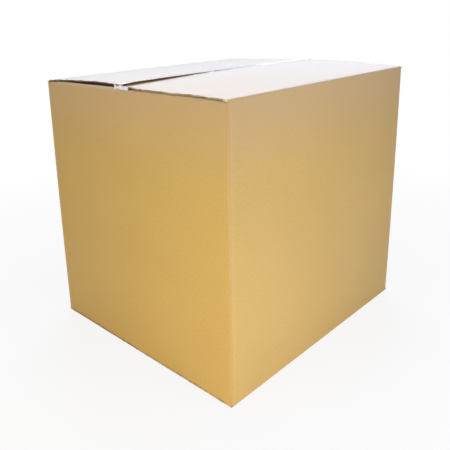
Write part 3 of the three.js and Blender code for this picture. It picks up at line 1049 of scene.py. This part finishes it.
def clear_tape():
    """Clear packing film: see-through face on, glossy at low angles, with fine lines and small bubbles."""
    material, tree, shader = new_material("clear tape")
    place = sheet_place(tree)
    lines = noise(tree, scaled(tree, place, (1.0, 0.04, 1.0)), 260.0, 2.0)
    bubbles = noise(tree, place, 120.0, 3.0)
    bumped(tree, shader, math_node(tree, "ADD", times(tree, lines, 0.6), bubbles), 0.18, 0.1 * MM)
    shader.inputs["IOR"].default_value = 1.5
    wear_and_light = wear_and_light_value(tree)
    glance = node(tree, "LayerWeight", {"Blend": 0.5}).outputs["Facing"]
    low_angle = levels(tree, glance, 0.55, 0.78)
    # Cloudy film and painted glare: faint at low angles from 0 to 0.5, full from all sides above
    faint = times(tree, levels(tree, wear_and_light, 0.0, 0.5), levels(tree, low_angle, 0.0, 1.0, 0.25, 1.0))
    cloudy_and_glare = larger(tree, faint, levels(tree, wear_and_light, 0.5, 0.9))
    cloud_and_glare = times(tree, cloudy_and_glare, levels(tree, lines, 0.3, 0.7, 0.7, 1.0))
    # A painted bluish reflection, at low angles only
    blue_glance = times(tree, levels(tree, wear_and_light, 0.0, -1.0), low_angle)
    dull = larger(tree, times(tree, cloud_and_glare, 0.7), times(tree, blue_glance, 0.9))
    tree.links.new(larger(tree, dull, 0.07), shader.inputs["Roughness"])
    tint = mixed(tree, bubbles, linear(FILM[0]), linear(FILM[1]))
    # Blue tint for the painted reflection
    tint = mixed(tree, smaller(tree, times(tree, blue_glance, 2.0), 1.0), tint, linear(FILM_BLUE_GLANCE))
    # White tint for the cloudy film and the painted glare
    tint = mixed(tree, smaller(tree, times(tree, cloud_and_glare, 2.0), 1.0), tint, linear(FILM_CLOUD_AND_GLARE))
    tree.links.new(tint, shader.inputs["Base Color"])
    shine = times(tree, math_node(tree, "POWER", glance, 4.0), 0.05)
    cover = math_node(tree, "ADD", shine, levels(tree, bubbles, 0.4, 0.75, 0.0, 0.04))
    # The painted glare and the painted bluish reflection make the film less see-through there
    cover = larger(tree, larger(tree, cover, times(tree, cloud_and_glare, 0.95)), times(tree, blue_glance, 0.6))
    clear = node(tree, "BsdfTransparent", {"Color": (1, 1, 1, 1)})
    film = node(tree, "MixShader", {"Fac": cover})
    tree.links.new(clear.outputs["BSDF"], film.inputs[1])
    tree.links.new(shader.outputs["BSDF"], film.inputs[2])
    tree.links.new(film.outputs["Shader"], surface_of(tree))
    return material


# The studio

def light_rays(tree):
    """1 for camera, glossy and transmission rays, which see the plain background."""
    path = node(tree, "LightPath")
    total = math_node(tree, "ADD", path.outputs["Is Camera Ray"], path.outputs["Is Glossy Ray"])
    total = math_node(tree, "ADD", total, path.outputs["Is Transmission Ray"])
    return smaller(tree, total, 1.0)


SKY = 0.22  # the soft light from all round
FLOOR_HALF = 40.0
FLOOR_FADE = (0.4, 1.6, 0.84, 1.0)  # from and to this far from the middle, and how white it is there


def studio_world():
    world = bpy.data.worlds.new("studio")
    bpy.context.scene.world = world
    world.use_nodes = True
    tree = world.node_tree
    tree.nodes.clear()
    output = tree.nodes.new("ShaderNodeOutputWorld")
    strength = levels(tree, light_rays(tree), 0.0, 1.0, SKY, 1.0)
    background = node(tree, "Background", {"Color": (1, 1, 1, 1), "Strength": strength})
    tree.links.new(background.outputs["Background"], output.inputs["Surface"])


def studio_floor():
    """A pale floor that keeps the carton's soft shadow, and goes over into the white background."""
    mesh = bpy.data.meshes.new("studio_floor")
    corners = [(FLOOR_HALF * x, FLOOR_HALF * y, 0) for x, y in ((-1, -1), (1, -1), (1, 1), (-1, 1))]
    mesh.from_pydata(corners, [], [(0, 1, 2, 3)])
    material, tree, shader = new_material("studio floor")
    place = node(tree, "TexCoord").outputs["Object"]
    grain = noise(tree, place, 3.0, 2.0)
    colour = mixed(tree, levels(tree, grain, 0.3, 0.7), linear(FLOOR[0]), linear(FLOOR[1]))
    tree.links.new(colour, shader.inputs["Base Color"])
    shader.inputs["Roughness"].default_value = 0.9
    shader.inputs["Specular IOR Level"].default_value = 0.1
    away = node(tree, "VectorMath", {0: place}, operation="LENGTH").outputs["Value"]
    fade = levels(tree, away, *FLOOR_FADE)
    white = node(tree, "Emission", {"Color": (1, 1, 1, 1), "Strength": 1.0})
    seen = times(tree, fade, node(tree, "LightPath").outputs["Is Camera Ray"])
    blend = node(tree, "MixShader", {"Fac": seen})
    tree.links.new(shader.outputs["BSDF"], blend.inputs[1])
    tree.links.new(white.outputs["Emission"], blend.inputs[2])
    tree.links.new(blend.outputs["Shader"], surface_of(tree))
    mesh.materials.append(material)
    floor = bpy.data.objects.new("studio_floor", mesh)
    bpy.context.scene.collection.objects.link(floor)


# The lamps: name, place, the point it faces, size, watts and colour
LAMPS = (
    ("low left", (0.33, -1.1, 0.13), (0.05, -0.32, 0.12), (0.9, 0.2), 2.4, (1.0, 0.74, 0.3)),
    ("high left", (0.15, -0.95, 1.15), (0.1, -0.32, 0.55), (0.5, 0.3), 2.5, (0.8, 0.85, 1.0)),
    ("low right", (0.95, -0.25, 0.1), (0.28, -0.1, 0.1), (0.8, 0.16), 2.7, (0.77, 0.77, 1.0)),
    ("high right", (0.95, -0.15, 1.15), (0.28, -0.1, 0.55), (0.5, 0.3), 3.7, (0.74, 0.77, 0.97)),
    ("front", (0.95, -1.15, 0.22), (0, 0, 0.3), (0.6, 0.4), 4.8, (0.64, 0.78, 0.78)),
    ("window", (-3.4, 3.6, 2.0), (0, 0, 0.6), (5.6, 0.9), 275, (0.715, 0.78, 0.94)),
)


def area_lamp(name, place, target, size, power, colour):
    light = bpy.data.lights.new(name, "AREA")
    light.shape = "RECTANGLE"
    light.size, light.size_y = size
    light.energy = power
    light.color = colour
    lamp = bpy.data.objects.new(name, light)
    lamp.location = place
    lamp.rotation_euler = (Vector(target) - Vector(place)).to_track_quat("-Z", "Y").to_euler()
    bpy.context.scene.collection.objects.link(lamp)


# The photograph's camera: fitted to the carton's straight edges
CAMERA_PLACE = (0.8795, -0.999, 0.7408)
CAMERA_YAW = math.radians(135.585)
CAMERA_PITCH = math.radians(-15.797)
CAMERA_ROLL = math.radians(-1.907)
CAMERA_LENS = 43.795
CAMERA_SENSOR = 36.0
PHOTO_SIDE = 450
PHOTO_AXIS = (190, 170)  # the pixel that the lens points at


def photo_camera():
    look = Vector((math.cos(CAMERA_PITCH) * math.cos(CAMERA_YAW),
                   math.cos(CAMERA_PITCH) * math.sin(CAMERA_YAW), math.sin(CAMERA_PITCH)))
    right = look.cross(Vector((0, 0, 1))).normalized()
    up = right.cross(look)
    c, s = math.cos(CAMERA_ROLL), math.sin(CAMERA_ROLL)
    right, up = c * right + s * up, -s * right + c * up
    data = bpy.data.cameras.new("photo_camera")
    data.lens = CAMERA_LENS
    data.sensor_width = CAMERA_SENSOR
    data.shift_x = (PHOTO_SIDE / 2 - PHOTO_AXIS[0]) / PHOTO_SIDE
    data.shift_y = -(PHOTO_SIDE / 2 - PHOTO_AXIS[1]) / PHOTO_SIDE
    data.clip_start, data.clip_end = 0.01, 100
    camera = bpy.data.objects.new("photo_camera", data)
    turn = Matrix((right, up, -look)).transposed().to_4x4()
    camera.matrix_world = Matrix.Translation(CAMERA_PLACE) @ turn
    bpy.context.scene.collection.objects.link(camera)
    bpy.context.scene.camera = camera


def main():
    photo_camera()
    board = carton_board([kraft_liner(), raw_edge(), flute_paper(), inner_liner()])
    tape = clear_tape()
    top = top_tape(tape)
    bottom = bottom_tape(tape)
    for piece, name, slot in ((board, "carton_blank", "kraft_board"), (top, "top_tape", "clear_tape"),
                              (bottom, "bottom_tape", "clear_tape")):
        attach(piece, "root")
        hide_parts(name)
    studio_world()
    studio_floor()
    for lamp in LAMPS:
        area_lamp(*lamp)
    bpy.context.scene.view_settings.view_transform = "Standard"


main()
